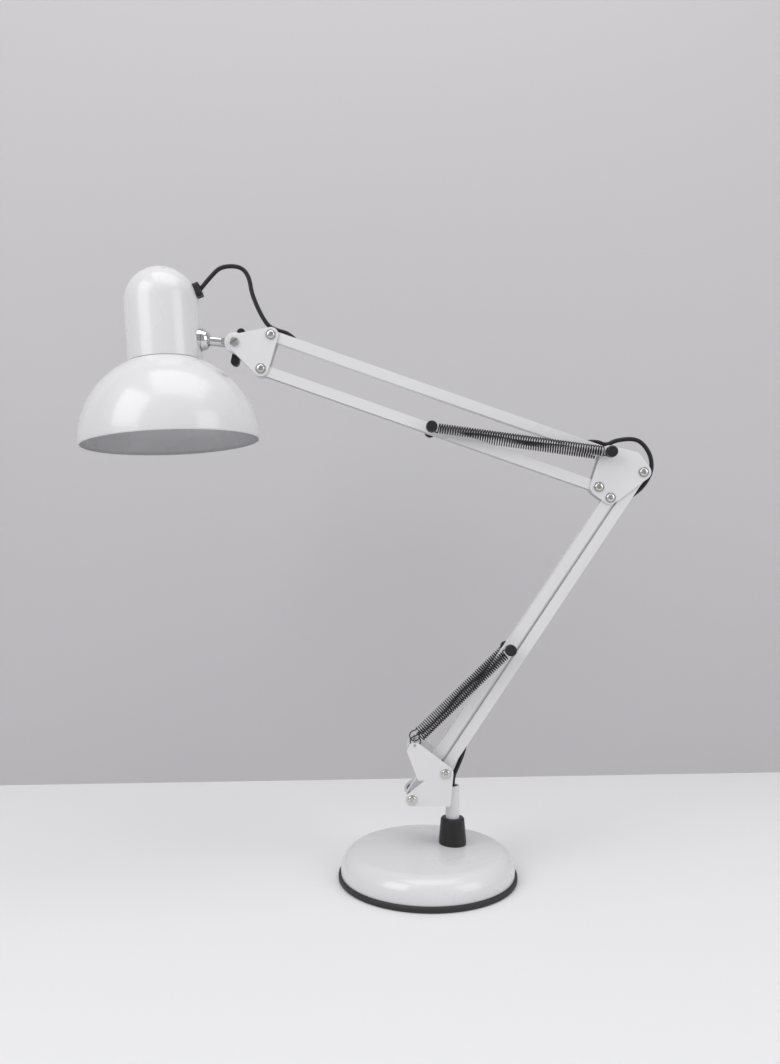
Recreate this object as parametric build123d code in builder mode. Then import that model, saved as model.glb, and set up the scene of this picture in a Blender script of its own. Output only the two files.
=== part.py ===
"""Swing arm desk lamp: weighted round base, two parallelogram arms with spring pairs, and a tilting head.

Millimetres, +Z up. The arms lie in the XZ plane, the head is towards -X, and the origin is the centre of the
base's underside.
"""
import math
import os

from build123d import *

os.makedirs("parts", exist_ok=True)

# ---- driving dimensions ------------------------------------------------------------------------------------
arm_length = 360.0            # pivot to pivot, both arms
lower_arm_angle = 56.3        # above +X, from foot to elbow
upper_arm_angle = 160.7       # from +X, from elbow to head
lower_link = (42.2, 37.6)     # length and angle of the link between the lower arm's pivots
upper_link = (35.7, -106.4)   # the same for the upper arm
head_lean = 4.0               # the head's axis leans this much towards -X

foot_pivot_1 = (-16.4, 83.1)  # (X, Z)
elbow_from_pivot_1 = (-1.5, 45.0)
tilt_pivot = (-194.8, 539.4)
spring_pin_share = (177.0, 178.5)  # distance of the spring pins along the lower and the upper arm

bar_width = 10.4
bar_wall = 1.2
plate = 1.5
inner_plate_y = 5.6           # inner face of the elbow and head plates
foot_plate_y = 19.4           # inner face of the foot bracket's plates
pivot_r = 2.5
running = 0.05                # radial clearance of a pivot

post_x = 25.2
post_r = 7.0
post_bore_r = 5.0
post_top = 92.0
base_r = 90.0
shell_r = 87.5
dome_top = 34.0
shell_wall = 1.6
gland_z = 11.0

shade_r = 89.6
shade_height = 88.5
neck_r = 37.0
cap_top = 177.4               # from the rim's plane, along the head's axis
sheet = 1.2

spring_y = 13.4
coil_r = 5.2
wire_r = 0.6
flex_r = 2.2


def along(start, length, angle):
    """The point (X, Z) at a distance and an angle from start."""
    a = math.radians(angle)
    return (start[0] + length * math.cos(a), start[1] + length * math.sin(a))


foot_pivot_2 = along(foot_pivot_1, *lower_link)
elbow_pivot_1 = along(foot_pivot_1, arm_length, lower_arm_angle)
elbow_pivot_2 = along(foot_pivot_2, arm_length, lower_arm_angle)
upper_pivot_top = (elbow_pivot_1[0] + elbow_from_pivot_1[0], elbow_pivot_1[1] + elbow_from_pivot_1[1])
upper_pivot_bottom = along(upper_pivot_top, *upper_link)
head_pivot_top = along(upper_pivot_top, arm_length, upper_arm_angle)
head_pivot_bottom = along(upper_pivot_bottom, arm_length, upper_arm_angle)
lower_spring_pin = along(foot_pivot_1, spring_pin_share[0], lower_arm_angle)
upper_spring_pin = along(upper_pivot_bottom, spring_pin_share[1], upper_arm_angle)
spring_eye = (-12.6, 139.0)          # where the lower springs' loops stand
spring_anchor = (-13.5, 136.6)       # the pin they hook over
rim_centre = Vector(-259.6, 0, 439.0)


def side(y=0.0):
    """A plane facing -Y, whose local axes are X and Z."""
    return Plane(origin=(0, y, 0), x_dir=(1, 0, 0), z_dir=(0, -1, 0))


def bar_plane(pivot, angle):
    """A plane facing -Y at a pivot, with its local x along the bar."""
    a = math.radians(angle)
    return Plane(origin=(pivot[0], 0, pivot[1]), x_dir=(math.cos(a), 0, math.sin(a)), z_dir=(0, -1, 0))


def keep(part, label):
    """Labels a finished piece and writes its file."""
    part.label = label
    export_step(part, f"parts/{label}.step")
    print(f"{label:28s} {part.volume:12.1f} mm3  {len(part.solids())} solid(s)")


def pins(label, places):
    """Round pieces along Y: each place is (point, radius, bore or 0, y from, y to)."""
    with BuildPart() as group:
        for point, radius, bore, y_from, y_to in places:
            with BuildSketch(side(y_to)):
                with Locations(point):
                    Circle(radius)
                    if bore:
                        Circle(bore, mode=Mode.SUBTRACT)
            extrude(amount=y_to - y_from)
    keep(group.part, label)


# ---- base --------------------------------------------------------------------------------------------------
def dome_profile(inset):
    """The dome's half section, set in from the outside by a wall."""
    shoulder = (72.0 - inset * 0.6, 28.5 - inset)
    foot = (shell_r - inset, 10.0)
    with BuildLine() as line:
        crown = RadiusArc((0, dome_top - inset), shoulder, 474.0)
        TangentArc(shoulder, foot, tangent=crown % 1)
        Polyline(foot, (shell_r - inset, 3.4), (0, 3.4), (0, dome_top - inset))
    return line.line


with BuildPart() as base_shell:
    for inset, mode in ((0.0, Mode.ADD), (shell_wall, Mode.SUBTRACT)):
        with BuildSketch(Plane.XZ):
            with BuildLine():
                add(dome_profile(inset))
            make_face()
        revolve(axis=Axis.Z, mode=mode)
    with Locations((post_x, 0, dome_top)):
        Cylinder(9.3, 30, mode=Mode.SUBTRACT)
    with Locations(Location((0, shell_r, gland_z), (90, 0, 0))):
        Cylinder(4.2, 20, mode=Mode.SUBTRACT)
keep(base_shell.part, "base_shell")

with BuildPart() as dome_solid:
    with BuildSketch(Plane.XZ):
        with BuildLine():
            add(dome_profile(0.0))
        make_face()
    revolve(axis=Axis.Z)

with BuildPart() as base_edge_ring:
    with BuildSketch(Plane.XZ):
        with BuildLine():
            Polyline((83, 0), (base_r - 0.6, 0), (base_r, 0.6), (base_r, 4.2), (base_r - 1.0, 5.4),
                     (shell_r + 0.1, 5.4), (shell_r + 0.1, 3.3), (83, 3.3), close=True)
        make_face()
    revolve(axis=Axis.Z)
keep(base_edge_ring.part, "base_edge_ring")

with BuildPart() as base_bottom_plate:
    with Locations((0, 0, 1.9)):
        Cylinder(82.8, 1.2)
    with PolarLocations(60, 3, start_angle=90):
        Hole(1.6)
keep(base_bottom_plate.part, "base_bottom_plate")

with BuildPart() as base_pad:
    Cylinder(81, 1.2, align=(Align.CENTER, Align.CENTER, Align.MIN))
    chamfer(base_pad.edges().sort_by(Axis.Z)[0], 0.4)
keep(base_pad.part, "base_pad")

with BuildPart() as base_weight:
    with BuildSketch(Plane.XY.offset(2.7)):
        Circle(78)
        with Locations((post_x, 0)):
            Circle(18, mode=Mode.SUBTRACT)
    extrude(amount=13.3)
    chamfer(base_weight.faces().sort_by(Axis.Z)[-1].outer_wire().edges(), 2.0)
    with Locations((post_x, 40, 9.5)):
        Box(10, 84, 14, mode=Mode.SUBTRACT)
    with Locations((10, 66, 9.5)):
        Box(44, 40, 14, mode=Mode.SUBTRACT)
keep(base_weight.part, "base_weight")

with BuildPart() as cable_gland:
    with BuildSketch(Plane.YZ):
        with BuildLine():
            Polyline((shell_r - 6.0, gland_z + 2.4), (shell_r - 6.0, gland_z + 5.0), (shell_r - 3.2, gland_z + 5.0),
                     (shell_r - 3.2, gland_z + 4.1), (shell_r + 0.2, gland_z + 4.1), (shell_r + 0.2, gland_z + 5.2),
                     (shell_r + 1.8, gland_z + 4.4), (shell_r + 1.8, gland_z + 2.4), close=True)
        make_face()
    revolve(axis=Axis((0, 0, gland_z), (0, 1, 0)))
keep(cable_gland.part, "cable_gland")

with BuildPart() as post_socket:
    with BuildSketch(Plane.XZ):
        with BuildLine():
            Polyline((0, 27), (9.0, 27), (9.0, 31), (13.6, 31), (13.9, 36.2), (11.9, 58.2), (10.9, 59.6),
                     (0, 59.6), close=True)
        make_face()
    revolve(axis=Axis.Z)
socket_body = Location((post_x, 0, 0)) * post_socket.part
with BuildPart() as post_socket:
    add(socket_body)
    with BuildPart(mode=Mode.PRIVATE) as under:
        add(dome_solid.part)
        with Locations((post_x, 0, dome_top)):
            Cylinder(9.1, 30, mode=Mode.SUBTRACT)
    add(under.part, mode=Mode.SUBTRACT)
    with Locations((post_x, 0, 40)):
        Cylinder(post_r + running, 60, mode=Mode.SUBTRACT)
    fillet(post_socket.edges().filter_by(GeomType.CIRCLE).group_by(Axis.Z)[-1], 0.5)
    with Locations((post_x, 0, 22)):
        with BuildPart(mode=Mode.PRIVATE) as spigot:
            Cylinder(9.0, 10)
            Cylinder(post_r + running, 10, mode=Mode.SUBTRACT)
        add(spigot.part)
keep(post_socket.part, "post_socket")

with BuildPart() as socket_nut:
    with BuildSketch(Plane.XY.offset(22)):
        with Locations((post_x, 0)):
            RegularPolygon(14, 6)
            Circle(9.1, mode=Mode.SUBTRACT)
    extrude(amount=5)
keep(socket_nut.part, "socket_nut")

# ---- post and foot bracket ---------------------------------------------------------------------------------
with BuildPart() as post:
    with BuildSketch(Plane.XY.offset(14.5)):
        with Locations((post_x, 0)):
            Circle(post_r)
            Circle(post_bore_r, mode=Mode.SUBTRACT)
    extrude(amount=post_top - 14.5)
    fillet(post.edges().filter_by(GeomType.CIRCLE).group_by(Axis.Z)[-1], 0.5)
keep(post.part, "post")

with BuildPart() as post_retaining_ring:
    with BuildSketch(Plane.XY.offset(15.2)):
        with Locations((post_x, 0)):
            Circle(9.6)
            Circle(post_r, mode=Mode.SUBTRACT)
    extrude(amount=1.4)
keep(post_retaining_ring.part, "post_retaining_ring")

for name, y_to in (("foot_plate_near", -foot_plate_y), ("foot_plate_far", foot_plate_y + plate)):
    with BuildPart() as foot_plate:
        with BuildSketch(side(y_to)):
            with BuildSketch(mode=Mode.PRIVATE) as lower_half:
                for point, radius in ((foot_pivot_1, 6.8), (foot_pivot_2, 7.6), ((19.7, 78.3), 2.0)):
                    with Locations(point):
                        Circle(radius)
                make_hull()
            with BuildSketch(mode=Mode.PRIVATE) as upper_half:
                for point, radius in (((-19.2, 131.0), 2.3), ((-16.0, 136.2), 2.7), ((-11.0, 136.2), 2.7),
                                      (foot_pivot_2, 7.6), ((-9.2, 103.5), 1.5)):
                    with Locations(point):
                        Circle(radius)
                make_hull()
            add(lower_half.sketch)
            add(upper_half.sketch)
            with Locations(foot_pivot_1, foot_pivot_2):
                Circle(pivot_r + running, mode=Mode.SUBTRACT)
            with Locations(spring_anchor):
                Circle(1.3 + running, mode=Mode.SUBTRACT)
        extrude(amount=plate)
    keep(foot_plate.part, name)

with BuildPart() as foot_saddle:
    with BuildSketch(side(foot_plate_y)):
        with BuildLine():
            Polyline((3, 76.6), (21.6, 76.6), (21.6, 91.0), (13.5, 91.0), (13.5, 78.6), (3, 78.6), close=True)
        make_face()
    extrude(amount=2 * foot_plate_y)
    with Locations((post_x, 0, 84)):
        Cylinder(post_r, 40, mode=Mode.SUBTRACT)
keep(foot_saddle.part, "foot_saddle")

pins("spring_anchor_pins", [(spring_anchor, 1.3, 0, -foot_plate_y - 1.9, -9.8),
                            (spring_anchor, 1.3, 0, 9.8, foot_plate_y + 1.9)])

# ---- pivots ------------------------------------------------------------------------------------------------
def screws(label, places, half, head_r, head_h=2.4):
    """Cross-head screws along Y, heads on the near side, each through plates whose outer faces are at half."""
    with BuildPart() as group:
        for point in places:
            with BuildSketch(side(half + 3.6)):
                with Locations(point):
                    Circle(pivot_r)
            extrude(amount=2 * half + 3.6)
            with BuildSketch(side(-half)):
                with Locations(point):
                    Circle(head_r)
            extrude(amount=head_h)
            rim = group.edges().filter_by(GeomType.CIRCLE).group_by(Axis.Y)[0]
            fillet([e for e in rim if abs(e.radius - head_r) < 0.01][-1:], 0.9)
            for turn in (45, 135):
                with BuildSketch(side(-half - head_h)):
                    with Locations(Location((point[0], point[1], 0), (0, 0, turn))):
                        Rectangle(head_r * 1.25, 1.1)
                extrude(amount=-1.3, mode=Mode.SUBTRACT)
    keep(group.part, label)


def nuts(label, places, half):
    """Hexagonal nuts on the far side."""
    with BuildPart() as group:
        for point in places:
            with BuildSketch(side(half + 3.0)):
                with Locations(point):
                    RegularPolygon(4.6, 6)
                    Circle(pivot_r, mode=Mode.SUBTRACT)
            extrude(amount=3.0)
    keep(group.part, label)


plate_outer = inner_plate_y + plate
foot_outer = foot_plate_y + plate
screws("foot_screws", [foot_pivot_1, foot_pivot_2], foot_outer, 4.9)
nuts("foot_nuts", [foot_pivot_1, foot_pivot_2], foot_outer)
sleeve_gap = bar_width / 2 + 0.3
pins("foot_sleeves", [(p, 4.4, pivot_r + running, a, b) for p in (foot_pivot_1, foot_pivot_2)
                      for a, b in ((-foot_plate_y, -sleeve_gap), (sleeve_gap, foot_plate_y))])
screws("elbow_screws", [elbow_pivot_1, elbow_pivot_2, upper_pivot_bottom], plate_outer, 4.6)
nuts("elbow_nuts", [elbow_pivot_1, elbow_pivot_2, upper_pivot_bottom], plate_outer)
screws("head_screws", [head_pivot_top, head_pivot_bottom], plate_outer, 4.6)
nuts("head_nuts", [head_pivot_top, head_pivot_bottom], plate_outer)

# ---- arms --------------------------------------------------------------------------------------------------
channel = bar_width / 2 - bar_wall
bars = (("lower_bar_1", foot_pivot_1, lower_arm_angle, -1), ("lower_bar_2", foot_pivot_2, lower_arm_angle, -1),
        ("upper_bar_top", upper_pivot_top, upper_arm_angle, -1),
        ("upper_bar_bottom", upper_pivot_bottom, upper_arm_angle, 1))
for name, pivot, angle, open_side in bars:
    plane = bar_plane(pivot, angle)
    with BuildPart() as bar:
        with BuildSketch(plane):
            with Locations((arm_length / 2, 0)):
                SlotCenterToCenter(arm_length, bar_width)
        extrude(amount=bar_width / 2, both=True)
        with BuildSketch(plane):
            with Locations((arm_length / 2, open_side * bar_wall)):
                Rectangle(arm_length + 2 * bar_width, bar_width)
        extrude(amount=channel, both=True, mode=Mode.SUBTRACT)
        pin_place = spring_pin_share[0] if name == "lower_bar_1" else spring_pin_share[1]
        with BuildSketch(plane):
            with Locations((0, 0), (arm_length, 0)):
                Circle(pivot_r + running)
            if name in ("lower_bar_1", "upper_bar_bottom"):
                with Locations((pin_place, 0)):
                    Circle(2.0)
        extrude(amount=bar_width, both=True, mode=Mode.SUBTRACT)
    keep(bar.part, name)

# ---- elbow and head brackets -------------------------------------------------------------------------------
elbow_outline = ((upper_pivot_top, 7.6), ((210.2, 425.2), 3.2), (elbow_pivot_2, 7.8), (elbow_pivot_1, 7.0),
                 (upper_pivot_bottom, 8.6))
head_outline = ((head_pivot_top, 7.6), (head_pivot_bottom, 7.6), (tilt_pivot, 7.6))
for name, outline in (("elbow_plates", elbow_outline), ("head_plates", head_outline)):
    with BuildPart() as bracket:
        for y_to in (-inner_plate_y, plate_outer):
            with BuildSketch(side(y_to)):
                with BuildSketch(mode=Mode.PRIVATE) as whole:
                    for point, radius in outline:
                        with Locations(point):
                            Circle(radius)
                    make_hull()
                add(whole.sketch)
                for point, radius in outline:
                    if radius > 5:
                        with Locations(point):
                            Circle(pivot_r + running, mode=Mode.SUBTRACT)
            extrude(amount=plate)
        flats = bracket.faces().filter_by(Axis.Y).sort_by(Axis.Y)
        fillet(flats[0].outer_wire().edges() + flats[-1].outer_wire().edges(), 0.4)
    keep(bracket.part, name)

# ---- spring pins and their black caps ----------------------------------------------------------------------
pin_end = spring_y + 5.0
for name, point, bore, face in (("lower", lower_spring_pin, 2.0, bar_width / 2),
                                ("upper", upper_spring_pin, 2.0, bar_width / 2),
                                ("elbow", upper_pivot_top, pivot_r, plate_outer)):
    with BuildPart() as pin:
        for radius, half in ((bore, pin_end), (bore + 1.2, spring_y - 1.4)):
            with BuildSketch(side(0)):
                with Locations(point):
                    Circle(radius)
            extrude(amount=half, both=True)
        with BuildSketch(side(0)):
            with Locations(point):
                Circle(bore + 4)
                Circle(bore, mode=Mode.SUBTRACT)
        extrude(amount=face, both=True, mode=Mode.SUBTRACT)
    keep(pin.part, f"{name}_spring_pin")
    with BuildPart() as caps:
        for near in (-1, 1):
            with BuildSketch(side(near * (spring_y + 1.4) if near < 0 else spring_y + 9.0)):
                with Locations(point):
                    Circle(5.7)
            extrude(amount=7.6)
            end = caps.edges().filter_by(GeomType.CIRCLE).group_by(Axis.Y)[0 if near < 0 else -1]
            fillet(end, 1.6)
            with BuildSketch(side(-spring_y - 1.4 if near < 0 else pin_end)):
                with Locations(point):
                    Circle(bore)
            extrude(amount=pin_end - spring_y - 1.4, mode=Mode.SUBTRACT)
    keep(caps.part, f"{name}_pin_caps")

# ---- springs -----------------------------------------------------------------------------------------------
def spring_pair(name, start, end, start_r, end_r, stem, hook):
    """Two springs as closed coils with a loop at the fixed end, and the loose hooks of their other end."""
    run = math.hypot(end[0] - start[0], end[1] - start[1])
    angle = math.degrees(math.atan2(end[1] - start[1], end[0] - start[0]))
    middle = bar_plane(start, angle)
    coil_from = start_r + stem
    coil_to = run - end_r - hook
    for part_name in ("coils", "hooks"):
        with BuildPart() as group:
            for y in (-spring_y, spring_y):
                origin = Vector(start[0], y, start[1])
                lengthwise = Plane(origin=origin, x_dir=(0, 1, 0), z_dir=middle.x_dir)
                flat = Plane(origin=origin, x_dir=middle.x_dir, z_dir=(0, -1, 0))
                if part_name == "coils":
                    ring_x, ring_r, wire_from, wire_to = 0.0, start_r, start_r, coil_from + 0.5
                    with BuildSketch(lengthwise.offset(coil_from)):
                        Circle(coil_r)
                    extrude(amount=coil_to - coil_from)
                    with BuildSketch(lengthwise.offset(coil_from + 1.2)):
                        Circle(coil_r - 2 * wire_r)
                    extrude(amount=coil_to - coil_from, mode=Mode.SUBTRACT)
                else:
                    ring_x, ring_r, wire_from, wire_to = run, end_r, coil_to - 9.0, run - end_r
                with BuildSketch(lengthwise.offset(wire_from)):
                    Circle(wire_r)
                extrude(amount=wire_to - wire_from)
                with Locations(flat.offset(0) * Location((ring_x, 0, 0))):
                    Torus(ring_r, wire_r)
        keep(group.part, f"{name}_spring_{part_name}")


spring_pair("lower", spring_eye, lower_spring_pin, 4.6, 3.4, 2.2, 3.2)
spring_pair("upper", upper_pivot_top, upper_spring_pin, 3.9, 3.4, 3.2, 3.2)

# ---- tilt bolt, wing knob, shank ---------------------------------------------------------------------------
with BuildPart() as tilt_bolt:
    with BuildSketch(side(20.0)):
        with Locations(tilt_pivot):
            Circle(pivot_r)
    extrude(amount=20.0 + plate_outer)
    with BuildSketch(side(-plate_outer)):
        with Locations(tilt_pivot):
            Circle(4.6)
    extrude(amount=2.4)
    fillet(tilt_bolt.edges().filter_by(GeomType.CIRCLE).group_by(Axis.Y)[0], 0.9)
    with BuildSketch(side(-plate_outer - 2.4)):
        with Locations(Location((tilt_pivot[0], tilt_pivot[1], 0), (0, 0, 38))):
            Rectangle(12, 1.2)
    extrude(amount=-1.2, mode=Mode.SUBTRACT)
keep(tilt_bolt.part, "tilt_bolt")

with BuildPart() as wing_knob:
    with BuildSketch(side(22.0)):
        with Locations(tilt_pivot):
            Circle(8.6)
    extrude(amount=22.0 - plate_outer - 0.3)
    with BuildSketch(side(22.0)):
        with BuildSketch(mode=Mode.PRIVATE) as wings:
            for turn in (78, -102):
                with Locations(along(tilt_pivot, 15.4, turn)):
                    Circle(4.2)
            make_hull()
        add(wings.sketch)
    extrude(amount=8.0)
    with BuildSketch(side(20.0)):
        with Locations(tilt_pivot):
            Circle(pivot_r + running)
    extrude(amount=20.0, mode=Mode.SUBTRACT)
    fillet(wing_knob.faces().sort_by(Axis.Y)[-1].outer_wire().edges(), 1.2)
keep(wing_knob.part, "wing_knob")

shank_angle = 174.5
eye_half = 3.6
pins("tilt_friction_discs", [(tilt_pivot, 10.0, pivot_r + running, -inner_plate_y + 0.1, -eye_half - 0.1),
                             (tilt_pivot, 10.0, pivot_r + running, eye_half + 0.1, inner_plate_y - 0.1)])
shank_direction = bar_plane(tilt_pivot, shank_angle).x_dir
shank_profile = Plane(origin=(tilt_pivot[0], 0, tilt_pivot[1]), x_dir=shank_direction, z_dir=(0, 1, 0))
shank_axis = Axis((tilt_pivot[0], 0, tilt_pivot[1]), shank_direction)
wall_at = 35.4               # the neck's outer face, along the shank

with BuildPart() as shank:
    with BuildSketch(shank_profile):
        with BuildLine():
            Polyline((5.0, 0), (5.0, 4.9), (25.2, 4.9), (25.2, 2.9), (45.0, 2.9), (45.0, 0), close=True)
        make_face()
    revolve(axis=shank_axis)
    with Locations(Location((tilt_pivot[0], 0, tilt_pivot[1]))):
        with BuildPart(mode=Mode.PRIVATE) as cheeks:
            for y in (-eye_half - 5, eye_half + 5):
                with Locations((0, y, 0)):
                    Box(27, 10, 27)
        add(cheeks.part, mode=Mode.SUBTRACT)
    with BuildSketch(side(0)):
        with Locations(tilt_pivot):
            Circle(7.4)
    extrude(amount=eye_half, both=True)
    with BuildSketch(side(0)):
        with Locations(tilt_pivot):
            Circle(pivot_r + running)
    extrude(amount=20, both=True, mode=Mode.SUBTRACT)
keep(shank.part, "shank")

with BuildPart() as ball_knuckle:
    with BuildSketch(shank_profile):
        with BuildLine():
            Polyline((25.4, 2.95), (25.4, 5.4))
            ThreePointArc((25.4, 5.4), (28.4, 9.0), (32.9, 10.8))
            Polyline((32.9, 10.8), (32.9, 2.95), (25.4, 2.95))
        make_face()
    revolve(axis=shank_axis)
keep(ball_knuckle.part, "ball_knuckle")

with BuildPart() as shank_nut:
    with BuildSketch(Plane(origin=shank_axis.position + shank_direction * 38.2, x_dir=(0, 1, 0),
                           z_dir=shank_direction)):
        RegularPolygon(6.0, 6)
        Circle(2.9, mode=Mode.SUBTRACT)
    extrude(amount=4.0)
keep(shank_nut.part, "shank_nut")

# ---- head --------------------------------------------------------------------------------------------------
lean = math.radians(head_lean)
head_up = Vector(-math.sin(lean), 0, math.cos(lean))
head_out = Vector(math.cos(lean), 0, math.sin(lean))
head_axis = Axis(rim_centre, head_up)
head_section = Plane(origin=rim_centre, x_dir=head_out, z_dir=head_out.cross(head_up))
across_head = Plane(origin=rim_centre, x_dir=head_out, z_dir=head_up)
dome_start = cap_top - neck_r
mouth_s = shade_height * math.sqrt(1 - (neck_r / shade_r) ** 2)
rod_hole_r = 3.0
entry_angle = 17.0            # of the flex's grip, above the shoulder
grip_centre = rim_centre + head_up * (dome_start + neck_r * math.sin(math.radians(entry_angle))) \
    + head_out * neck_r * math.cos(math.radians(entry_angle))
grip_out = head_out * math.cos(math.radians(entry_angle)) + head_up * math.sin(math.radians(entry_angle))
grip_plane = Plane(origin=grip_centre, x_dir=(0, 1, 0), z_dir=grip_out)

with BuildPart() as shade:
    for inset, mode in ((0.0, Mode.ADD), (sheet, Mode.SUBTRACT)):
        with BuildSketch(head_section):
            with BuildLine():
                top = neck_r - inset - 1.4
                top_s = (shade_height - inset) * math.sqrt(1 - (top / (shade_r - inset)) ** 2)
                sweep_angle = math.degrees(math.atan2(top_s / (shade_height - inset), top / (shade_r - inset)))
                EllipticalCenterArc((0, 0), shade_r - inset, shade_height - inset, start_angle=0,
                                    arc_size=sweep_angle)
                Polyline((top, top_s), (top, top_s + 7.0 + inset), (0, top_s + 7.0 + inset), (0, 0),
                         (shade_r - inset, 0))
            make_face()
        revolve(axis=head_axis, mode=mode)
    with BuildSketch(head_section):
        with Locations((shade_r - 0.6, 0)):
            Circle(1.3)
    revolve(axis=head_axis)
keep(shade.part, "shade")

with BuildPart() as neck_cap:
    for inset, mode in ((0.0, Mode.ADD), (sheet, Mode.SUBTRACT)):
        r = neck_r - inset
        with BuildSketch(head_section):
            with BuildLine():
                Polyline((0, dome_start + r), (0, mouth_s + 0.5), (r, mouth_s + 0.5), (r, dome_start))
                ThreePointArc((r, dome_start), (r * math.cos(math.pi / 4), dome_start + r * math.sin(math.pi / 4)),
                              (0, dome_start + r))
            make_face()
        revolve(axis=head_axis, mode=mode)
    with BuildSketch(across_head.offset(dome_start)):
        with PolarLocations(22.0, 7, start_angle=-64.3):
            Circle(1.6)
        Circle(2.3)
    extrude(amount=60, mode=Mode.SUBTRACT)
    with BuildSketch(Plane(origin=shank_axis.position, x_dir=(0, 1, 0), z_dir=shank_direction)):
        Circle(rod_hole_r)
    extrude(amount=50, mode=Mode.SUBTRACT)
    with BuildSketch(grip_plane):
        Circle(3.4)
    extrude(amount=8, both=True, mode=Mode.SUBTRACT)
keep(neck_cap.part, "neck_cap")

with BuildPart() as saddle_washer:
    with BuildSketch(Plane(origin=shank_axis.position + shank_direction * 33.1, x_dir=(0, 1, 0),
                           z_dir=shank_direction)):
        Circle(11.6)
        Circle(rod_hole_r, mode=Mode.SUBTRACT)
    extrude(amount=8)
    with BuildSketch(across_head):
        Circle(neck_r + 0.1)
    extrude(amount=200, mode=Mode.SUBTRACT)
keep(saddle_washer.part, "saddle_washer")

with BuildPart() as cord_grip:
    with BuildSketch(grip_plane.offset(-1.5)):
        RectangleRounded(12.0, 14.4, 3.0)
    extrude(amount=7.2)
    fillet(cord_grip.faces().sort_by(Axis(grip_centre, grip_out))[-1].outer_wire().edges(), 1.2)
    with BuildSketch(grip_plane):
        Circle(3.3)
    extrude(amount=-9)
    with BuildPart(mode=Mode.PRIVATE) as shoulder:
        with Locations(rim_centre + head_up * dome_start):
            Sphere(neck_r + 0.1)
        with BuildSketch(grip_plane):
            Circle(3.3)
        extrude(amount=20, both=True, mode=Mode.SUBTRACT)
    add(shoulder.part, mode=Mode.SUBTRACT)
    with BuildSketch(grip_plane):
        Circle(flex_r + 0.6)
    extrude(amount=20, both=True, mode=Mode.SUBTRACT)
keep(cord_grip.part, "cord_grip")

holder_s = 96.0
with BuildPart() as lampholder_body:
    with BuildSketch(head_section):
        with BuildLine():
            Polyline((14.6, holder_s), (20.0, holder_s), (20.0, holder_s + 34), (16.5, holder_s + 40),
                     (16.5, holder_s + 50), (14.0, holder_s + 52), (0, holder_s + 52), (0, holder_s + 36),
                     (14.6, holder_s + 36), close=True)
        make_face()
    revolve(axis=head_axis)
keep(lampholder_body.part, "lampholder_body")

with BuildPart() as screw_shell:
    with BuildSketch(head_section):
        with BuildLine():
            Polyline((13.3, holder_s + 4), (14.5, holder_s + 4), (14.5, holder_s + 30), (13.3, holder_s + 30),
                     close=True)
        make_face()
    revolve(axis=head_axis)
keep(screw_shell.part, "lampholder_screw_shell")

with BuildPart() as centre_contact:
    with BuildSketch(across_head.offset(holder_s + 30.6)):
        Rectangle(9, 5)
    extrude(amount=5.4)
    with BuildSketch(across_head.offset(holder_s + 30.6)):
        with Locations((5, 0)):
            Rectangle(5, 6)
    extrude(amount=1.4, mode=Mode.SUBTRACT)
keep(centre_contact.part, "lampholder_contact")

with BuildPart() as holder_strap:
    with BuildSketch(across_head.offset(holder_s + 52.1)):
        Rectangle(14, 58)
        with Locations((0, -20), (0, 20)):
            Circle(2.0, mode=Mode.SUBTRACT)
        Circle(4.0, mode=Mode.SUBTRACT)
    extrude(amount=1.5)
keep(holder_strap.part, "lampholder_strap")

# ---- flex --------------------------------------------------------------------------------------------------
def on_bar(pivot, angle, distance, offset):
    """A point beside a bar's centre line."""
    return along(along(pivot, distance, angle), offset, angle + 90)


def flex(label, route):
    """A tube of straight runs joined by tangent arcs along a route of (X, Z) or (X, Y, Z) points."""
    points = [Vector(p[0], 0, p[1]) if len(p) == 2 else Vector(*p) for p in route]
    if len(points) == 2:
        with BuildLine() as path:
            Line(points[0], points[1])
    else:
        radii = []
        for a, b, c in zip(points, points[1:], points[2:]):
            turn = math.radians((b - a).get_angle(c - b))
            radii.append(0.45 * min((b - a).length, (c - b).length) / math.tan(turn / 2))
        print("    radii", [round(r, 1) for r in radii])
        with BuildLine() as path:
            FilletPolyline(*points, radius=radii)
    line = path.line
    with BuildPart() as tube:
        with BuildSketch(Plane(origin=line @ 0, z_dir=line % 0)):
            Circle(flex_r)
        sweep(path=line)
    length = sum(edge.length for edge in path.edges())
    print("    length", round(length, 1), "volume share", round(tube.part.volume / (math.pi * flex_r ** 2 * length), 4))
    keep(tube.part, label)


grip_face = grip_centre + grip_out * 6.9
head_loop_top = (-199.0, 617.6)
bracket_top = (-170.9, 573.2)
elbow_top = (201.8, 442.4)


def upper(distance, offset=-1.2):
    """A point in or above the upper arm's top bar, by its distance from the elbow."""
    return on_bar(upper_pivot_top, upper_arm_angle, distance, offset)


def lower(distance, offset=-1.2):
    """A point in or outside the lower arm's second bar, by its distance from the foot."""
    return on_bar(foot_pivot_2, lower_arm_angle, distance, offset)


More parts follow.
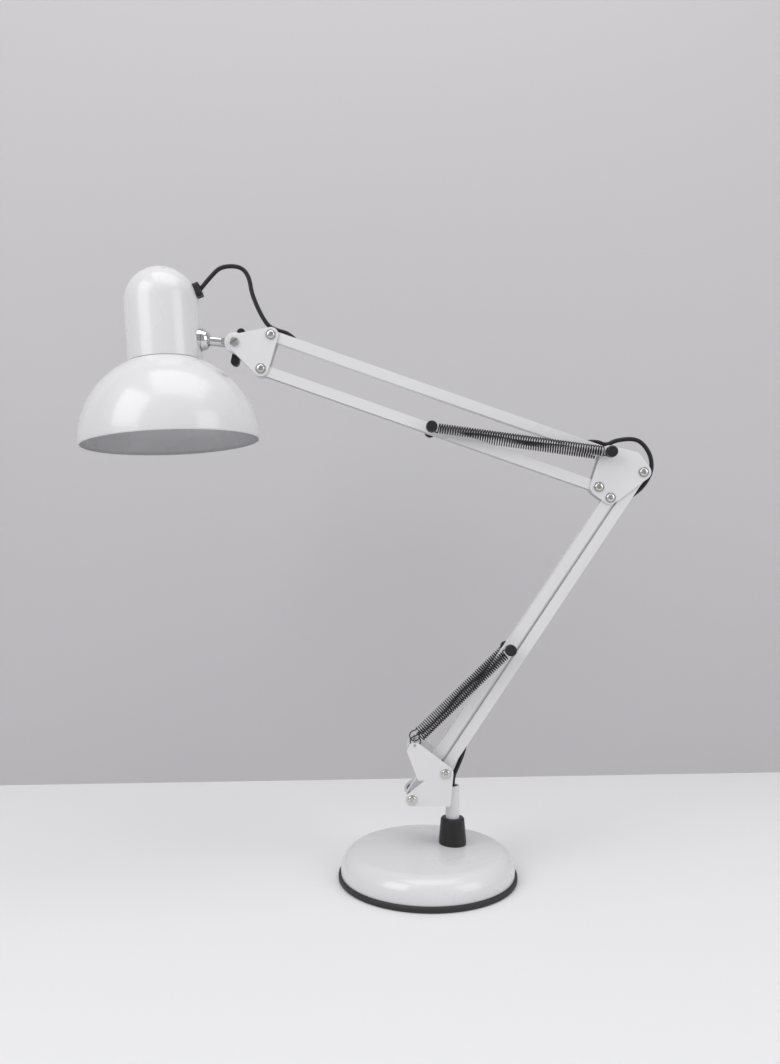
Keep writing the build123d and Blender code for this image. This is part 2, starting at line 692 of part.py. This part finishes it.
flex("flex_head_loop_outer", [(grip_face.X, grip_face.Z), (-219.5, 607.6), (-209.0, 617.6), head_loop_top])
flex("flex_head_loop_inner", [head_loop_top, (-189.0, 617.6), (-180.6, 606.5), (-178.0, 588.0), bracket_top])
flex("flex_head_bend", [bracket_top, (-163.8, 558.4), (-152.5, 552.4), upper(345, -8.6), upper(330), upper(316)])
flex("flex_upper_run", [upper(316), upper(46)])
flex("flex_elbow_upper", [upper(46), upper(29), upper(15, -8.4), (181.0, 435.8), (191.0, 441.6), elbow_top])
flex("flex_elbow_lower", [elbow_top, (211.0, 443.1), (221.0, 435.0), (226.8, 423.0), (227.0, 410.5),
                          (222.0, 399.5), lower(arm_length - 17, -7.8), lower(arm_length - 32),
                          lower(arm_length - 54)])
flex("flex_lower_run", [lower(arm_length - 54), lower(54)])
flex("flex_foot", [lower(54), lower(38), lower(25, -6.6), (30.5, 111.0), (25.8, 101.0), (25.2, 88.0),
                   (25.3, 62.0), (25.2, 48.0), (25.2, 30.0)])
flex("flex_base_run", [(post_x, 0, 30.0), (post_x, 0, 11.5), (post_x, 7.5, 6.0), (post_x, 24.0, 6.0),
                       (post_x + 0.3, 42.0, 6.1), (20.0, 57.0, 6.8), (9.0, 67.5, 8.6), (1.2, 74.8, gland_z),
                       (0, shell_r - 6.2, gland_z)])
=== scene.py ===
"""Swing arm desk lamp.

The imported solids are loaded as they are, and each piece gets its finish or its finer shape.
"""
import math

import bmesh
import bpy
from mathutils import Matrix, Vector


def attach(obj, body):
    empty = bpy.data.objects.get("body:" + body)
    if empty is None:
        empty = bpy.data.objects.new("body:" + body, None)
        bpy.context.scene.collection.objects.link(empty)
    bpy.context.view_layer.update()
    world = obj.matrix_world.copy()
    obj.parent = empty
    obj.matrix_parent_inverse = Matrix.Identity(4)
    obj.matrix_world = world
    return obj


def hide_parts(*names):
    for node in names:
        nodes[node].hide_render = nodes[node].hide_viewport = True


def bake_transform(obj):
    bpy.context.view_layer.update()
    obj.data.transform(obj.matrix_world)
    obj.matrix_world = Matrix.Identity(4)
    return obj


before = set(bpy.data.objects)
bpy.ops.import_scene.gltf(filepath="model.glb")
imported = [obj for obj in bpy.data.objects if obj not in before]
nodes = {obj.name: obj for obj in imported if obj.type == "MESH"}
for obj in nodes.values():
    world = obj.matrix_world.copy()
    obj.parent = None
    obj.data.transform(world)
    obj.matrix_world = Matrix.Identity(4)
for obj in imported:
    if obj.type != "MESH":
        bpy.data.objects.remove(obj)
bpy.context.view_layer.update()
scene = bpy.context.scene

# ---- camera ------------------------------------------------------------------------------------------------
# A level view from the side the screw heads are on, a little above the middle of the lamp.
camera_data = bpy.data.cameras.new("camera")
camera_data.lens = 28.25
camera_data.shift_y = 0.0235
camera = bpy.data.objects.new("camera", camera_data)
camera.location = (-0.0381, -0.846, 0.323)
camera.rotation_euler = (math.radians(90), 0, 0)
scene.collection.objects.link(camera)
scene.camera = camera

# ---- table top, backdrop and light -------------------------------------------------------------------------
# A white table top, a plain grey backdrop that starts where the table ends, and three large soft lights.
scene.view_settings.view_transform = "Standard"


def plain(name, colour, roughness):
    """A plain surface for what isn't part of the lamp."""
    material = bpy.data.materials.new(name)
    material.use_nodes = True
    shader = material.node_tree.nodes["Principled BSDF"]
    shader.inputs["Base Color"].default_value = (*colour, 1)
    shader.inputs["Roughness"].default_value = roughness
    return material


def stage_sheet(name, centre, size, tip_up, heading, material):
    """A flat sheet of the studio."""
    shape = bmesh.new()
    bmesh.ops.create_grid(shape, x_segments=1, y_segments=1, size=0.5)
    bmesh.ops.scale(shape, vec=(size[0], size[1], 1), verts=shape.verts)
    bmesh.ops.rotate(shape, cent=(0, 0, 0), matrix=Matrix.Rotation(tip_up, 3, "X"), verts=shape.verts)
    bmesh.ops.rotate(shape, cent=(0, 0, 0), matrix=Matrix.Rotation(heading, 3, "Z"), verts=shape.verts)
    bmesh.ops.translate(shape, vec=centre, verts=shape.verts)
    mesh = bpy.data.meshes.new(name)
    shape.to_mesh(mesh)
    shape.free()
    mesh.materials.append(material)
    sheet = bpy.data.objects.new(name, mesh)
    scene.collection.objects.link(sheet)


def one_sided(material):
    """Makes a sheet clear from behind, so that the lamp can be looked at from every side."""
    tree = material.node_tree
    face = tree.nodes.new("ShaderNodeNewGeometry")
    clear = tree.nodes.new("ShaderNodeBsdfTransparent")
    mix = tree.nodes.new("ShaderNodeMixShader")
    tree.links.new(face.outputs["Backfacing"], mix.inputs[0])
    tree.links.new(tree.nodes["Principled BSDF"].outputs[0], mix.inputs[1])
    tree.links.new(clear.outputs[0], mix.inputs[2])
    tree.links.new(mix.outputs[0], tree.nodes["Material Output"].inputs["Surface"])
    return material


stage_sheet("table_top", (0, -0.4, -0.0005), (6.0, 2.0), 0, 0,
            plain("table white", (0.87, 0.87, 0.88), 0.6))
stage_sheet("backdrop", (0, 0.374, 0.6), (6.0, 3.4), math.radians(90), math.radians(3.6),
            one_sided(plain("backdrop grey", (0.53, 0.52, 0.535), 0.95)))


def soft_light(name, place, aim, size, power):
    """A large square light that points at a place."""
    data = bpy.data.lights.new(name, "AREA")
    data.shape = "RECTANGLE"
    data.size, data.size_y = size
    data.energy = power
    light = bpy.data.objects.new(name, data)
    light.location = place
    towards = Vector(aim) - Vector(place)
    light.rotation_euler = towards.to_track_quat("-Z", "Y").to_euler()
    scene.collection.objects.link(light)


soft_light("window_left", (-1.25, -1.1, 1.35), (0, 0, 0.3), (1.1, 1.3), 13)
soft_light("window_right", (1.35, -0.9, 0.9), (0, 0, 0.3), (0.9, 1.2), 7)
soft_light("ceiling_panel", (0.1, -0.35, 1.9), (0, 0.05, 0.2), (1.5, 1.1), 10)
world = bpy.data.worlds.new("studio")
world.use_nodes = True
surroundings = world.node_tree.nodes["Background"]
surroundings.inputs["Color"].default_value = (0.93, 0.93, 0.95, 1)
surroundings.inputs["Strength"].default_value = 0.46
scene.world = world

# ---- pivots ------------------------------------------------------------------------------------------------
# The arms' length and angles in the XZ plane, and the pivots of the two bars that carry the flex.
arm = 0.360
lower_angle = math.radians(56.3)
upper_angle = math.radians(160.7)


def along(start, distance, angle):
    """The point at a distance from start, in a direction in the plane of the arms."""
    return start + Vector((math.cos(angle), 0, math.sin(angle))) * distance


foot_pivot_2 = Vector((0.01703466, 0, 0.10884787))
upper_pivot_top = Vector((0.18184399, 0, 0.42760348))

# ---- flex --------------------------------------------------------------------------------------------------
# Round black two-core flex, 4.4 mm across. It leaves the head by a grip, loops over to the bars, lies in their
# open channels, goes round the elbow's outer end, and drops into the hollow post.
unevenness = bpy.data.node_groups.new("Fine unevenness", "ShaderNodeTree")
for socket_name, kind, start in (("Scale", "NodeSocketFloat", 60.0),
                                 ("Smoothest", "NodeSocketFloat", 0.2), ("Roughest", "NodeSocketFloat", 0.3),
                                 ("Light", "NodeSocketColor", (1, 1, 1, 1)),
                                 ("Dark", "NodeSocketColor", (0, 0, 0, 1))):
    made = unevenness.interface.new_socket(name=socket_name, in_out="INPUT", socket_type=kind)
    made.default_value = start
for socket_name, kind in (("Colour", "NodeSocketColor"), ("Roughness", "NodeSocketFloat"),
                          ("Height", "NodeSocketFloat")):
    unevenness.interface.new_socket(name=socket_name, in_out="OUTPUT", socket_type=kind)
group_in = unevenness.nodes.new("NodeGroupInput")
group_out = unevenness.nodes.new("NodeGroupOutput")
place = unevenness.nodes.new("ShaderNodeTexCoord")
grain = unevenness.nodes.new("ShaderNodeTexNoise")
grain.inputs["Detail"].default_value = 3.0
cloud = unevenness.nodes.new("ShaderNodeTexNoise")
cloud.inputs["Scale"].default_value = 11.0
cloud.inputs["Detail"].default_value = 4.0
spread = unevenness.nodes.new("ShaderNodeMapRange")
spread.inputs["From Min"].default_value = 0.32
spread.inputs["From Max"].default_value = 0.68
tone = unevenness.nodes.new("ShaderNodeMix")
tone.data_type = "RGBA"
for source, target in ((place.outputs["Object"], grain.inputs["Vector"]),
                       (group_in.outputs["Scale"], grain.inputs["Scale"]),
                       (place.outputs["Object"], cloud.inputs["Vector"]),
                       (cloud.outputs["Fac"], spread.inputs["Value"]),
                       (group_in.outputs["Smoothest"], spread.inputs["To Min"]),
                       (group_in.outputs["Roughest"], spread.inputs["To Max"]),
                       (cloud.outputs["Fac"], tone.inputs[0]),
                       (group_in.outputs["Dark"], tone.inputs[6]),
                       (group_in.outputs["Light"], tone.inputs[7]),
                       (tone.outputs[2], group_out.inputs["Colour"]),
                       (spread.outputs["Result"], group_out.inputs["Roughness"]),
                       (grain.outputs["Fac"], group_out.inputs["Height"])):
    unevenness.links.new(source, target)


def finish(name, dark, light, roughness, scale, relief, metal=0.0, coat=0.0, coat_roughness=0.05,
           specular=0.5):
    """A finish whose tone, roughness and fine relief vary over the piece."""
    material = bpy.data.materials.new(name)
    material.use_nodes = True
    tree = material.node_tree
    shader = tree.nodes["Principled BSDF"]
    shader.inputs["Metallic"].default_value = metal
    shader.inputs["Coat Weight"].default_value = coat
    shader.inputs["Coat Roughness"].default_value = coat_roughness
    shader.inputs["Specular IOR Level"].default_value = specular
    variation = tree.nodes.new("ShaderNodeGroup")
    variation.node_tree = unevenness
    variation.inputs["Scale"].default_value = scale
    variation.inputs["Smoothest"].default_value = roughness[0]
    variation.inputs["Roughest"].default_value = roughness[1]
    variation.inputs["Light"].default_value = (*light, 1)
    variation.inputs["Dark"].default_value = (*dark, 1)
    bump = tree.nodes.new("ShaderNodeBump")
    bump.inputs["Strength"].default_value = 1.0
    bump.inputs["Distance"].default_value = relief
    tree.links.new(variation.outputs["Colour"], shader.inputs["Base Color"])
    tree.links.new(variation.outputs["Roughness"], shader.inputs["Roughness"])
    tree.links.new(variation.outputs["Height"], bump.inputs["Height"])
    tree.links.new(bump.outputs["Normal"], shader.inputs["Normal"])
    return material


flex_sheath = finish("black flex sheath", (0.006, 0.006, 0.007), (0.012, 0.012, 0.013), (0.36, 0.48), 900,
                     0.00003, specular=0.4)
flex_radius = 0.0022
in_channel = -0.0012


def beside_bar(pivot, angle, distance, offset):
    """A point beside a bar's centre line, by its distance along the bar."""
    return along(pivot, distance, angle) + Vector((-math.sin(angle), 0, math.cos(angle))) * offset


def upper(distance, offset=in_channel):
    """A point of the upper arm's flex."""
    return beside_bar(upper_pivot_top, upper_angle, distance, offset)


def lower(distance, offset=in_channel):
    """A point of the lower arm's flex."""
    return beside_bar(foot_pivot_2, lower_angle, distance, offset)


def flex_stretch(name, route, cad_node):
    """One stretch of flex as a mesh tube on its route's smooth curve, and that curve's own points."""
    curve = bpy.data.curves.new(name, "CURVE")
    curve.dimensions = "3D"
    curve.resolution_u = 14
    spline = curve.splines.new("NURBS")
    spline.points.add(len(route) - 1)
    for control, p in zip(spline.points, route):
        control.co = (p[0], p[1], p[2], 1)
    spline.order_u = 3
    spline.use_endpoint_u = True
    line = bpy.data.objects.new(name + "_line", curve)
    scene.collection.objects.link(line)
    bare = bpy.data.meshes.new_from_object(line)
    path = [v.co.copy() for v in bare.vertices]
    curve.bevel_depth = flex_radius
    curve.bevel_resolution = 4
    curve.use_fill_caps = True
    bpy.context.view_layer.update()
    mesh = bpy.data.meshes.new_from_object(line)
    mesh.name = name
    mesh.materials.clear()
    mesh.materials.append(flex_sheath)
    mesh.shade_smooth()
    bpy.data.objects.remove(line)
    tube = bpy.data.objects.new(name, mesh)
    scene.collection.objects.link(tube)
    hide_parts(cad_node)
    return tube, path


def xz(*points):
    """Points in the plane of the arms, from millimetres."""
    return [Vector((x / 1000, 0, z / 1000)) for x, z in points]


grip_mouth = Vector((-0.23055, 0, 0.593966))
loop_top, bracket_top, elbow_top = xz((-199.0, 617.6), (-170.9, 573.2), (201.8, 442.4))
free_stretches = (
    ("flex_head_loop_outer", [grip_mouth] + xz((-219.5, 607.6), (-209.0, 617.6)) + [loop_top],
     "shank", "head", loop_top, grip_mouth),
    ("flex_head_loop_inner", [loop_top]
     + xz((-189.0, 617.6), (-180.6, 606.5), (-178.0, 588.0)) + [bracket_top],
     "head_bracket", "shank", bracket_top, loop_top),
    ("flex_head_bend", [bracket_top] + xz((-163.8, 558.4), (-152.5, 552.4))
     + [upper(0.345, -0.0086), upper(0.330), upper(0.316)],
     "upper_bar_top", "head_bracket", upper(0.330), bracket_top),
    ("flex_elbow_upper", [upper(0.046), upper(0.029), upper(0.015, -0.0084)]
     + xz((181.0, 435.8), (191.0, 441.6)) + [elbow_top], "elbow", "upper_bar_top", elbow_top, upper(0.032)),
    ("flex_elbow_lower", [elbow_top]
     + xz((211.0, 443.1), (221.0, 435.0), (226.8, 423.0), (227.0, 410.5), (222.0, 399.5))
     + [lower(arm - 0.017, -0.0078), lower(arm - 0.032), lower(arm - 0.054)],
     "lower_bar_2", "elbow", lower(arm - 0.040), elbow_top),
    ("flex_foot", [lower(0.054), lower(0.038), lower(0.025, -0.0066)]
     + xz((30.5, 111.0), (25.8, 101.0), (25.2, 88.0), (25.3, 62.0), (25.2, 48.0), (25.2, 30.0)),
     "foot", "lower_bar_2", Vector((0.0252, 0, 0.096)), lower(0.040)),
)
for name, route, body_a, body_b, start, end in free_stretches:
    tube, path = flex_stretch(name + "_tube", route, name)
    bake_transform(tube)
for name, route, body in (("flex_upper_run", [upper(0.316), upper(0.046)], "upper_bar_top"),
                          ("flex_lower_run", [lower(arm - 0.054), lower(0.054)], "lower_bar_2"),
                          ("flex_base_run", [Vector((0.0252, 0, 0.030)), Vector((0.0252, 0, 0.0115)),
                                             Vector((0.0252, 0.0075, 0.006)),
                                             Vector((0.0252, 0.024, 0.006)),
                                             Vector((0.0255, 0.042, 0.0061)), Vector((0.020, 0.057, 0.0068)),
                                             Vector((0.009, 0.0675, 0.0086)), Vector((0.0012, 0.0748, 0.011)),
                                             Vector((0, 0.0813, 0.011))], "base")):
    tube, _ = flex_stretch(name + "_tube", route, name)
    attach(tube, body)

# ---- base --------------------------------------------------------------------------------------------------
# A pressed steel dome in white stoved enamel over a cast weight, closed by a plate, a black edge ring and
# a pad.
white_enamel = finish("white stoved enamel", (0.71, 0.71, 0.725), (0.75, 0.75, 0.765), (0.2, 0.3), 260,
                      0.000012, coat=0.35, coat_roughness=0.09)
black_rubber = finish("black rubber", (0.014, 0.014, 0.015), (0.028, 0.028, 0.028), (0.5, 0.66), 700, 0.00006)
plate_paint = finish("dark plate paint", (0.05, 0.05, 0.055), (0.075, 0.075, 0.08), (0.4, 0.52), 400, 0.00003)
cast_iron = finish("cast iron", (0.10, 0.10, 0.10), (0.19, 0.185, 0.18), (0.6, 0.8), 300, 0.0003,
                   metal=0.8)
black_nylon = finish("black nylon", (0.008, 0.008, 0.009), (0.017, 0.017, 0.018), (0.34, 0.46), 800,
                     0.00004, specular=0.4)
zinc_steel = finish("zinc plated steel", (0.42, 0.41, 0.39), (0.58, 0.57, 0.55), (0.24, 0.36), 500,
                    0.00002, metal=1.0)


def dress(material, *names):
    """Gives CAD nodes their finish."""
    for name in names:
        if not nodes[name].material_slots:
            nodes[name].data.materials.append(material)
        for slot in nodes[name].material_slots:
            slot.material = material


dress(white_enamel, "base_shell")
dress(black_rubber, "base_edge_ring", "base_pad")
dress(plate_paint, "base_bottom_plate")
dress(cast_iron, "base_weight")
dress(black_nylon, "cable_gland", "post_socket")
dress(zinc_steel, "socket_nut", "post_retaining_ring")

# ---- post and foot bracket ---------------------------------------------------------------------------------
# A steel tube that turns in the collar, with two pressed plates welded to it by a saddle.
dress(white_enamel, "post", "foot_plate_near", "foot_plate_far", "foot_saddle")
dress(black_nylon, "foot_sleeves")
dress(zinc_steel, "foot_nuts", "spring_anchor_pins")

# ---- arms --------------------------------------------------------------------------------------------------
# Four steel channels with rounded ends and the plates that join them, in the same enamel, on steel pins with
# black caps.
dress(white_enamel, "lower_bar_1", "lower_bar_2", "upper_bar_top", "upper_bar_bottom")
dress(white_enamel, "elbow_plates", "head_plates")
dress(zinc_steel, "lower_spring_pin", "upper_spring_pin", "elbow_spring_pin")
dress(zinc_steel, "elbow_nuts", "head_nuts", "tilt_bolt")
dress(black_nylon, "lower_pin_caps", "upper_pin_caps", "elbow_pin_caps", "wing_knob")

# ---- screws ------------------------------------------------------------------------------------------------
# Nickel plated pan-head screws with a cross recess, each on a thin washer, through the plates and bars.
bright_nickel = finish("nickel plated screw", (0.55, 0.54, 0.52), (0.72, 0.71, 0.69), (0.16, 0.28), 600, 0.00002,
                       metal=1.0)


def mesh_piece(name, shape, material, smooth_angle=35):
    """A finished mesh as an object, with its sharp edges kept."""
    mesh = bpy.data.meshes.new(name)
    bmesh.ops.recalc_face_normals(shape, faces=shape.faces)
    shape.to_mesh(mesh)
    shape.free()
    mesh.materials.append(material)
    mesh.shade_smooth()
    mesh.set_sharp_from_angle(angle=math.radians(smooth_angle))
    piece = bpy.data.objects.new(name, mesh)
    scene.collection.objects.link(piece)
    return piece


def turned(profile, steps=32):
    """A solid of revolution about the Z axis, from (radius, height) points."""
    shape = bmesh.new()
    ring = [shape.verts.new((r, 0, z)) for r, z in profile]
    edges = [shape.edges.new(pair) for pair in zip(ring, ring[1:])]
    bmesh.ops.spin(shape, geom=ring + edges, cent=(0, 0, 0), axis=(0, 0, 1), angle=math.tau, steps=steps,
                   use_merge=True)
    bmesh.ops.remove_doubles(shape, verts=shape.verts, dist=1e-6)
    bmesh.ops.recalc_face_normals(shape, faces=shape.faces)
    mesh = bpy.data.meshes.new("turned")
    shape.to_mesh(mesh)
    shape.free()
    return mesh


def cut_from(mesh, cutter):
    """The mesh with the cutter's shape taken out of it."""
    cutter_mesh = bpy.data.meshes.new("cutter")
    cutter.to_mesh(cutter_mesh)
    cutter.free()
    body = bpy.data.objects.new("body", mesh)
    tool = bpy.data.objects.new("tool", cutter_mesh)
    scene.collection.objects.link(body)
    scene.collection.objects.link(tool)
    cut = body.modifiers.new("cut", "BOOLEAN")
    cut.operation = "DIFFERENCE"
    cut.solver = "EXACT"
    cut.use_self = True
    cut.object = tool
    done = bpy.data.meshes.new_from_object(body.evaluated_get(bpy.context.evaluated_depsgraph_get()))
    bpy.data.objects.remove(body)
    bpy.data.objects.remove(tool)
    return done


head_foot = 0.0005
head_height = 0.0022
head_dome = ((1, 0.35), (0.93, 0.72), (0.78, 0.93), (0.5, 1.04), (0, 1.08))
washer_bottom, washer_shoulder, washer_top = 0.00002, 0.00042, 0.0006
shank_radius = 0.0024


def pan_head(radius, turn):
    """A cross-recessed pan head, face along +Z, standing on the washer's face."""
    head = turned([(0, head_foot), (radius, head_foot)]
                  + [(radius * share, head_foot + head_height * rise) for share, rise in head_dome])
    cutter = bmesh.new()
    for quarter in (0, 90):
        made = bmesh.ops.create_cube(cutter, size=1)["verts"]
        bmesh.ops.scale(cutter, vec=(radius * 1.2, radius * 0.26, head_height * 1.4), verts=made)
        bmesh.ops.scale(cutter, vec=(0.6, 0.7, 1), verts=[v for v in made if v.co.z < 0])
        bmesh.ops.translate(cutter, vec=(0, 0, head_foot + head_height * 1.12), verts=made)
        bmesh.ops.rotate(cutter, cent=(0, 0, 0), verts=made,
                         matrix=Matrix.Rotation(math.radians(quarter + turn), 3, "Z"))
    return cut_from(head, cutter)


def screw_set(name, places, outer, radius, body, node, washer):
    """Screws along Y, placed in millimetres, with heads towards -Y: washers, heads and shanks as one piece."""
    shape = bmesh.new()
    for x, z, turn in places:
        one = bmesh.new()
        one.from_mesh(pan_head(radius, turn))
        one.from_mesh(turned([(shank_radius, washer_bottom), (washer, washer_bottom), (washer, washer_shoulder),
                              (washer - 0.0002, washer_top), (shank_radius, washer_top),
                              (shank_radius, washer_bottom)]))
        one.from_mesh(turned([(0, 0.0004), (shank_radius, 0.0004), (shank_radius, -2 * outer - 0.0036),
                              (0.0019, -2 * outer - 0.0041), (0, -2 * outer - 0.0041)], 20))
        bmesh.ops.rotate(one, cent=(0, 0, 0), matrix=Matrix.Rotation(math.radians(90), 3, "X"), verts=one.verts)
        bmesh.ops.translate(one, vec=(x / 1000, -outer, z / 1000), verts=one.verts)
        single = bpy.data.meshes.new("one screw")
        one.to_mesh(single)
        one.free()
        shape.from_mesh(single)
    piece = mesh_piece(name, shape, bright_nickel, 30)
    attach(piece, body)
    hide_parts(node)


plate_outer = 0.0071
foot_outer = 0.0209
screw_set("foot_pivot_screws", ((-16.4, 83.1, 38), (17.035, 108.848, 12)), foot_outer, 0.0042, "foot",
          "foot_screws", 0.0056)
screw_set("elbow_pivot_screws", ((183.344, 382.603, 50), (216.779, 408.351, 22), (171.764, 393.356, 8)),
          plate_outer, 0.0040, "elbow", "elbow_screws", 0.0054)
screw_set("head_pivot_screws", ((-157.924, 546.589, 30), (-168.004, 512.341, 64)),
          plate_outer, 0.0040, "head_bracket", "head_screws", 0.0054)

# ---- springs -----------------------------------------------------------------------------------------------
# Two pairs of black-finished open coils of 1.2 mm wire, each with a round loop at both ends over its pin.
spring_wire = finish("black spring wire", (0.005, 0.005, 0.006), (0.014, 0.014, 0.015), (0.28, 0.4), 700,
                     0.00002, specular=0.4)
wire = 0.0006
coil = 0.0052
spring_side = 0.0134


def loop_wire(shape, points):
    """Adds wire that follows a smooth curve through the loop's control points."""
    curve = bpy.data.curves.new("loop", "CURVE")
    curve.dimensions = "3D"
    curve.resolution_u = 8
    spline = curve.splines.new("NURBS")
    spline.points.add(len(points) - 1)
    for control, p in zip(spline.points, points):
        control.co = (*p, 1)
    spline.order_u = 3
    spline.use_endpoint_u = True
    curve.bevel_depth = wire
    curve.bevel_resolution = 2
    curve.use_fill_caps = True
    line = bpy.data.objects.new("loop", curve)
    scene.collection.objects.link(line)
    shape.from_mesh(bpy.data.meshes.new_from_object(line))
    bpy.data.objects.remove(line)


def spring_pair(name, start, end, start_r, end_r, stem, hook, turns):
    """Both springs of a pair, modelled along +X and then turned into place."""
    run = math.hypot(end[0] - start[0], end[1] - start[1])
    angle = math.atan2(end[1] - start[1], end[0] - start[0])
    coil_from, coil_to = start_r + stem, run - end_r - hook
    mean = coil - wire
    steps = 20 * turns
    shape = bmesh.new()
    for y in (-spring_side, spring_side):
        before = len(shape.verts)
        ring = bmesh.ops.create_circle(shape, segments=7, radius=wire)["verts"]
        bmesh.ops.rotate(shape, cent=(0, 0, 0), matrix=Matrix.Rotation(math.radians(90), 3, "X"), verts=ring)
        bmesh.ops.translate(shape, vec=(coil_from, 0, mean), verts=ring)
        edges = list({e for v in ring for e in v.link_edges})
        bmesh.ops.spin(shape, geom=ring + edges, cent=(0, 0, 0), axis=(1, 0, 0), angle=math.tau * turns,
                       dvec=((coil_to - coil_from) / steps, 0, 0), steps=steps)
        for at, far, r, eye in ((coil_from, -1, start_r, 0), (coil_to, 1, end_r, run)):
            loop_wire(shape, [(at, -0.0018 * far, mean), (at + far * 0.0004, 0.001 * far, mean * 0.98),
                              (eye - far * r * 1.05, 0.0003 * far, mean * 0.75),
                              (eye - far * r * 0.5, 0, r * 1.18),
                              (eye + far * r * 0.45, 0, r * 1.16), (eye + far * r * 1.12, 0, r * 0.5),
                              (eye + far * r * 1.12, 0, -r * 0.5), (eye + far * r * 0.5, 0, -r * 1.12),
                              (eye - far * r * 0.5, 0, -r * 1.12), (eye - far * r * 1.1, 0, -r * 0.4),
                              (eye - far * r * 1.1, 0, r * 0.2)])
        shape.verts.ensure_lookup_table()
        bmesh.ops.translate(shape, vec=(0, y, 0), verts=shape.verts[before:])
    bmesh.ops.rotate(shape, cent=(0, 0, 0), matrix=Matrix.Rotation(-angle, 3, "Y"), verts=shape.verts)
    bmesh.ops.translate(shape, vec=(start[0], 0, start[1]), verts=shape.verts)
    piece = mesh_piece(name + "_springs", shape, spring_wire, 60)
    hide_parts(name + "_spring_coils", name + "_spring_hooks")
    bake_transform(piece)


spring_pair("lower", (-0.0126, 0.1390), (0.08180861, 0.23035651), 0.0046, 0.0034, 0.0022, 0.0032, 49)
spring_pair("upper", (0.18184399, 0.42760348), (0.00329478, 0.45235255), 0.0039, 0.0034, 0.0032, 0.0032, 66)

# ---- tilt joint --------------------------------------------------------------------------------------------
# A chromed shank between two plastic friction discs, clamped by the wing knob, with a chromed knuckle at
# its end.
chrome = finish("chrome plate", (0.62, 0.62, 0.63), (0.74, 0.74, 0.75), (0.06, 0.14), 300, 0.000008, metal=1.0)
white_plastic = finish("white moulded plastic", (0.72, 0.72, 0.71), (0.78, 0.78, 0.77), (0.35, 0.45), 500,
                       0.00003)
dress(chrome, "shank", "ball_knuckle", "shank_nut", "saddle_washer")
dress(white_plastic, "tilt_friction_discs")

# ---- head --------------------------------------------------------------------------------------------------
# A spun steel shade with a rolled rim under a drawn cap with vent holes, both stoved in white enamel; the inside
# of the shade is painted greyer as painted shade. A holder hangs inside the cap, and the flex leaves by a black
# grip.
lean = math.radians(4.0)
rim_centre = Vector((-0.2596, 0, 0.4390))
head_turn = Matrix.Rotation(-lean, 3, "Y")
# Greyer enamel for the inside of the shade: painted shade, since that side lies in shadow; the real inside is
# white.
inner_painted_shade_enamel = finish("inner enamel with painted shade", (0.50, 0.50, 0.515), (0.56, 0.56, 0.575), (0.22, 0.32), 260, 0.00002,
                      coat=0.35, coat_roughness=0.1)


def bowl_arc(radius, height, top, steps):
    """Points of the bowl's section, from its rim up to where its radius is top."""
    end = math.acos(top / radius)
    return [(radius * math.cos(end * n / steps), height * math.sin(end * n / steps)) for n in range(steps + 1)]


def spun_ring(profile, steps):
    """A closed section spun about the Z axis."""
    shape = bmesh.new()
    ring = [shape.verts.new((r, 0, z)) for r, z in profile]
    edges = [shape.edges.new(pair) for pair in zip(ring, ring[1:] + ring[:1])]
    bmesh.ops.spin(shape, geom=ring + edges, cent=(0, 0, 0), axis=(0, 0, 1), angle=math.tau, steps=steps,
                   use_merge=True)
    bmesh.ops.remove_doubles(shape, verts=shape.verts, dist=1e-7)
    return shape


shade_radius, shade_height, neck_radius = 0.0896, 0.0885, 0.0356
sheet_steel = 0.0012
collar = 0.0070
outside = bowl_arc(shade_radius, shade_height, neck_radius, 26)
inside = bowl_arc(shade_radius - sheet_steel, shade_height - sheet_steel, neck_radius - sheet_steel, 26)
collar_top = outside[-1][1] + collar
bead_radius = 0.0013
bead = [(0.0890 + bead_radius * math.cos(math.radians(a)), bead_radius * math.sin(math.radians(a)))
        for a in range(-150, 31, 30)]
shade_shape = spun_ring(outside + [(neck_radius, collar_top), (neck_radius - sheet_steel, collar_top)]
                        + list(reversed(inside)) + bead, 96)
bmesh.ops.rotate(shade_shape, cent=(0, 0, 0), matrix=head_turn, verts=shade_shape.verts)
bmesh.ops.translate(shade_shape, vec=rim_centre, verts=shade_shape.verts)
shade = mesh_piece("spun_shade", shade_shape, white_enamel, 50)
shade.data.materials.append(inner_painted_shade_enamel)
# Faces that look inward, above the rim bead, take the greyer finish, which is painted shade.
for face in shade.data.polygons:
    from_rim = head_turn.inverted() @ (face.center - rim_centre)
    normal = head_turn.inverted() @ face.normal
    across = Vector((from_rim.x, from_rim.y, 0)).normalized()
    if normal.dot(across) < -0.2 and from_rim.z > 0.0012:
        face.material_index = 1
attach(shade, "head")
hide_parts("shade")
dress(white_enamel, "neck_cap")
dress(black_nylon, "cord_grip")
ceramic = finish("glazed ceramic", (0.78, 0.77, 0.74), (0.84, 0.83, 0.80), (0.12, 0.2), 200, 0.00002, coat=0.3)
brass = finish("nickel brass", (0.55, 0.42, 0.18), (0.70, 0.55, 0.26), (0.2, 0.32), 400, 0.00002, metal=1.0)
dress(ceramic, "lampholder_body")
dress(brass, "lampholder_screw_shell", "lampholder_contact")
dress(zinc_steel, "lampholder_strap")
